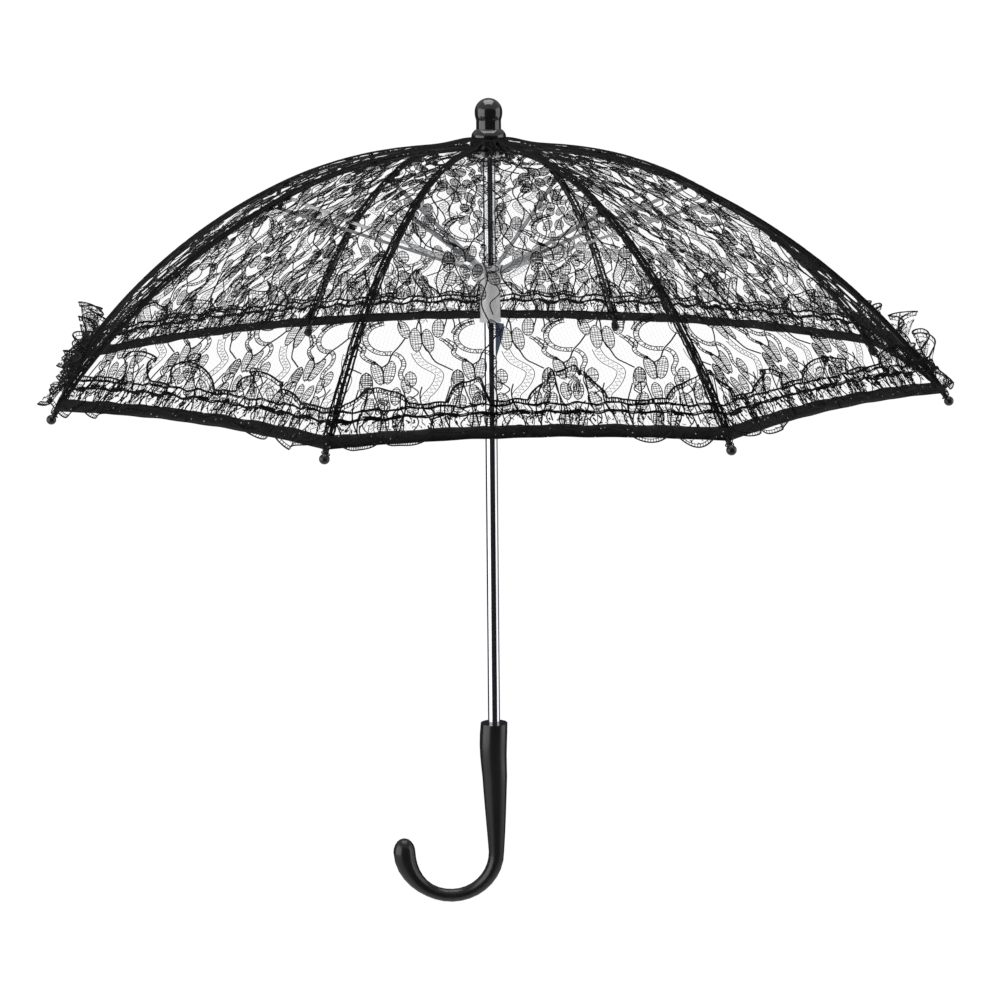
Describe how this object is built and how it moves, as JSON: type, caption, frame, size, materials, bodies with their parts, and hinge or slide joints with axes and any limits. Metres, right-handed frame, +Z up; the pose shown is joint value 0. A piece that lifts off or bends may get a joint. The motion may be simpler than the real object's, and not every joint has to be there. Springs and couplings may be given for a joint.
{
  "type": "lace parasol",
  "caption": "Open lace parasol: a domed canopy with a gathered lace trim on curved ribs and stretchers, a sliding runner on a steel tube, and a crook handle.",
  "frame": {"origin": "middle of the straight grip, on the tube's axis", "axes": "+Z up the tube towards the finial; the crook opens towards -X"},
  "size_m": [0.5828, 0.5828, 0.5385],
  "materials": {
    "tube_steel": "polished nickel-chrome plate",
    "black_plastic": "satin moulded plastic",
    "pale_plastic": "smooth moulded plastic",
    "wire_steel": "drawn steel wire",
    "blued_steel": "blued spring steel",
    "stretcher_steel": "zinc-plated pressed steel",
    "rib_steel": "black enamelled steel",
    "blackened_steel": "blackened pressed steel",
    "black_fabric": "woven tape",
    "black_lace": "openwork lace with woven motifs"
  },
  "bodies": {
    "frame": {"tube": "tube_steel", "handle": "black_plastic", "crown": "pale_plastic", "crown_wire": "wire_steel", "finial": "black_plastic", "apex_washer": "black_fabric", "stop_pin": "wire_steel", "catch_pin": "wire_steel"},
    "runner": {"runner": "pale_plastic", "runner_wire": "wire_steel"},
    "catch": {"catch_spring": "blued_steel"},
    "rib_arm_1": {"rib_1": "rib_steel", "rib_joint_1": "blackened_steel", "ball_tip_1": "black_plastic", "lace_panel_1": "black_lace", "lace_trim_1": "black_lace"},
    "stretcher_arm_1": {"stretcher_1": "stretcher_steel"},
    "rib_arm_2": {"rib_2": "rib_steel", "rib_joint_2": "blackened_steel", "ball_tip_2": "black_plastic", "lace_panel_2": "black_lace", "lace_trim_2": "black_lace"},
    "stretcher_arm_2": {"stretcher_2": "stretcher_steel"},
    "rib_arm_3": {"rib_3": "rib_steel", "rib_joint_3": "blackened_steel", "ball_tip_3": "black_plastic", "lace_panel_3": "black_lace", "lace_trim_3": "black_lace"},
    "stretcher_arm_3": {"stretcher_3": "stretcher_steel"},
    "rib_arm_4": {"rib_4": "rib_steel", "rib_joint_4": "blackened_steel", "ball_tip_4": "black_plastic", "lace_panel_4": "black_lace", "lace_trim_4": "black_lace"},
    "stretcher_arm_4": {"stretcher_4": "stretcher_steel"},
    "rib_arm_5": {"rib_5": "rib_steel", "rib_joint_5": "blackened_steel", "ball_tip_5": "black_plastic", "lace_panel_5": "black_lace", "lace_trim_5": "black_lace"},
    "stretcher_arm_5": {"stretcher_5": "stretcher_steel"},
    "rib_arm_6": {"rib_6": "rib_steel", "rib_joint_6": "blackened_steel", "ball_tip_6": "black_plastic", "lace_panel_6": "black_lace", "lace_trim_6": "black_lace"},
    "stretcher_arm_6": {"stretcher_6": "stretcher_steel"},
    "rib_arm_7": {"rib_7": "rib_steel", "rib_joint_7": "blackened_steel", "ball_tip_7": "black_plastic", "lace_panel_7": "black_lace", "lace_trim_7": "black_lace"},
    "stretcher_arm_7": {"stretcher_7": "stretcher_steel"},
    "rib_arm_8": {"rib_8": "rib_steel", "rib_joint_8": "blackened_steel", "ball_tip_8": "black_plastic", "lace_panel_8": "black_lace", "lace_trim_8": "black_lace"},
    "stretcher_arm_8": {"stretcher_8": "stretcher_steel"}
  },
  "joints": [
    {"name": "runner_slide", "type": "slide", "parent": "frame", "child": "runner", "axis": [0, 0, -1], "range_m": [0, 0.1985], "deforming": ["catch_spring", "lace_panel_1", "lace_trim_1", "lace_panel_2", "lace_trim_2", "lace_panel_3", "lace_trim_3", "lace_panel_4", "lace_trim_4", "lace_panel_5", "lace_trim_5", "lace_panel_6", "lace_trim_6", "lace_panel_7", "lace_trim_7", "lace_panel_8", "lace_trim_8"]},
    {"name": "catch_press", "type": "hinge", "parent": "frame", "child": "catch", "pos_m": [0.002, 0, 0.2787], "axis": [0, -1, 0], "range_deg": [0, 15.5], "stiffness_Nm_per_rad": 0.05, "springref_deg": -5.73},
    {"name": "rib_hinge_1", "type": "hinge", "parent": "frame", "child": "rib_arm_1", "pos_m": [0.00761, -0.00247, 0.414], "axis": [0.309, 0.9511, 0], "range_deg": [0, 61.13]},
    {"name": "stretcher_hinge_1", "type": "hinge", "parent": "rib_arm_1", "child": "stretcher_arm_1", "pos_m": [0.13933, -0.04527, 0.383], "axis": [-0.309, -0.9511, 0], "range_deg": [0, 116.47]},
    {"name": "rib_hinge_2", "type": "hinge", "parent": "frame", "child": "rib_arm_2", "pos_m": [0.00713, 0.00363, 0.414], "axis": [-0.454, 0.891, 0], "range_deg": [0, 61.13]},
    {"name": "stretcher_hinge_2", "type": "hinge", "parent": "rib_arm_2", "child": "stretcher_arm_2", "pos_m": [0.13053, 0.06651, 0.383], "axis": [0.454, -0.891, 0], "range_deg": [0, 116.47]},
    {"name": "rib_hinge_3", "type": "hinge", "parent": "frame", "child": "rib_arm_3", "pos_m": [0.00247, 0.00761, 0.414], "axis": [-0.9511, 0.309, 0], "range_deg": [0, 61.13]},
    {"name": "stretcher_hinge_3", "type": "hinge", "parent": "rib_arm_3", "child": "stretcher_arm_3", "pos_m": [0.04527, 0.13933, 0.383], "axis": [0.9511, -0.309, 0], "range_deg": [0, 116.47]},
    {"name": "rib_hinge_4", "type": "hinge", "parent": "frame", "child": "rib_arm_4", "pos_m": [-0.00363, 0.00713, 0.414], "axis": [-0.891, -0.454, 0], "range_deg": [0, 61.13]},
    {"name": "stretcher_hinge_4", "type": "hinge", "parent": "rib_arm_4", "child": "stretcher_arm_4", "pos_m": [-0.06651, 0.13053, 0.383], "axis": [0.891, 0.454, 0], "range_deg": [0, 116.47]},
    {"name": "rib_hinge_5", "type": "hinge", "parent": "frame", "child": "rib_arm_5", "pos_m": [-0.00761, 0.00247, 0.414], "axis": [-0.309, -0.9511, 0], "range_deg": [0, 61.13]},
    {"name": "stretcher_hinge_5", "type": "hinge", "parent": "rib_arm_5", "child": "stretcher_arm_5", "pos_m": [-0.13933, 0.04527, 0.383], "axis": [0.309, 0.9511, 0], "range_deg": [0, 116.47]},
    {"name": "rib_hinge_6", "type": "hinge", "parent": "frame", "child": "rib_arm_6", "pos_m": [-0.00713, -0.00363, 0.414], "axis": [0.454, -0.891, 0], "range_deg": [0, 61.13]},
    {"name": "stretcher_hinge_6", "type": "hinge", "parent": "rib_arm_6", "child": "stretcher_arm_6", "pos_m": [-0.13053, -0.06651, 0.383], "axis": [-0.454, 0.891, 0], "range_deg": [0, 116.47]},
    {"name": "rib_hinge_7", "type": "hinge", "parent": "frame", "child": "rib_arm_7", "pos_m": [-0.00247, -0.00761, 0.414], "axis": [0.9511, -0.309, 0], "range_deg": [0, 61.13]},
    {"name": "stretcher_hinge_7", "type": "hinge", "parent": "rib_arm_7", "child": "stretcher_arm_7", "pos_m": [-0.04527, -0.13933, 0.383], "axis": [-0.9511, 0.309, 0], "range_deg": [0, 116.47]},
    {"name": "rib_hinge_8", "type": "hinge", "parent": "frame", "child": "rib_arm_8", "pos_m": [0.00363, -0.00713, 0.414], "axis": [0.891, 0.454, 0], "range_deg": [0, 61.13]},
    {"name": "stretcher_hinge_8", "type": "hinge", "parent": "rib_arm_8", "child": "stretcher_arm_8", "pos_m": [0.06651, -0.13053, 0.383], "axis": [-0.891, -0.454, 0], "range_deg": [0, 116.47]}
  ],
  "couplings": [
    {"joint": "rib_hinge_1", "follows": "runner_slide", "rad_per_m": 5.3731},
    {"joint": "stretcher_hinge_1", "follows": "runner_slide", "rad_per_m": 10.239},
    {"joint": "rib_hinge_2", "follows": "runner_slide", "rad_per_m": 5.3731},
    {"joint": "stretcher_hinge_2", "follows": "runner_slide", "rad_per_m": 10.239},
    {"joint": "rib_hinge_3", "follows": "runner_slide", "rad_per_m": 5.3731},
    {"joint": "stretcher_hinge_3", "follows": "runner_slide", "rad_per_m": 10.239},
    {"joint": "rib_hinge_4", "follows": "runner_slide", "rad_per_m": 5.3731},
    {"joint": "stretcher_hinge_4", "follows": "runner_slide", "rad_per_m": 10.239},
    {"joint": "rib_hinge_5", "follows": "runner_slide", "rad_per_m": 5.3731},
    {"joint": "stretcher_hinge_5", "follows": "runner_slide", "rad_per_m": 10.239},
    {"joint": "rib_hinge_6", "follows": "runner_slide", "rad_per_m": 5.3731},
    {"joint": "stretcher_hinge_6", "follows": "runner_slide", "rad_per_m": 10.239},
    {"joint": "rib_hinge_7", "follows": "runner_slide", "rad_per_m": 5.3731},
    {"joint": "stretcher_hinge_7", "follows": "runner_slide", "rad_per_m": 10.239},
    {"joint": "rib_hinge_8", "follows": "runner_slide", "rad_per_m": 5.3731},
    {"joint": "stretcher_hinge_8", "follows": "runner_slide", "rad_per_m": 10.239}
  ]
}
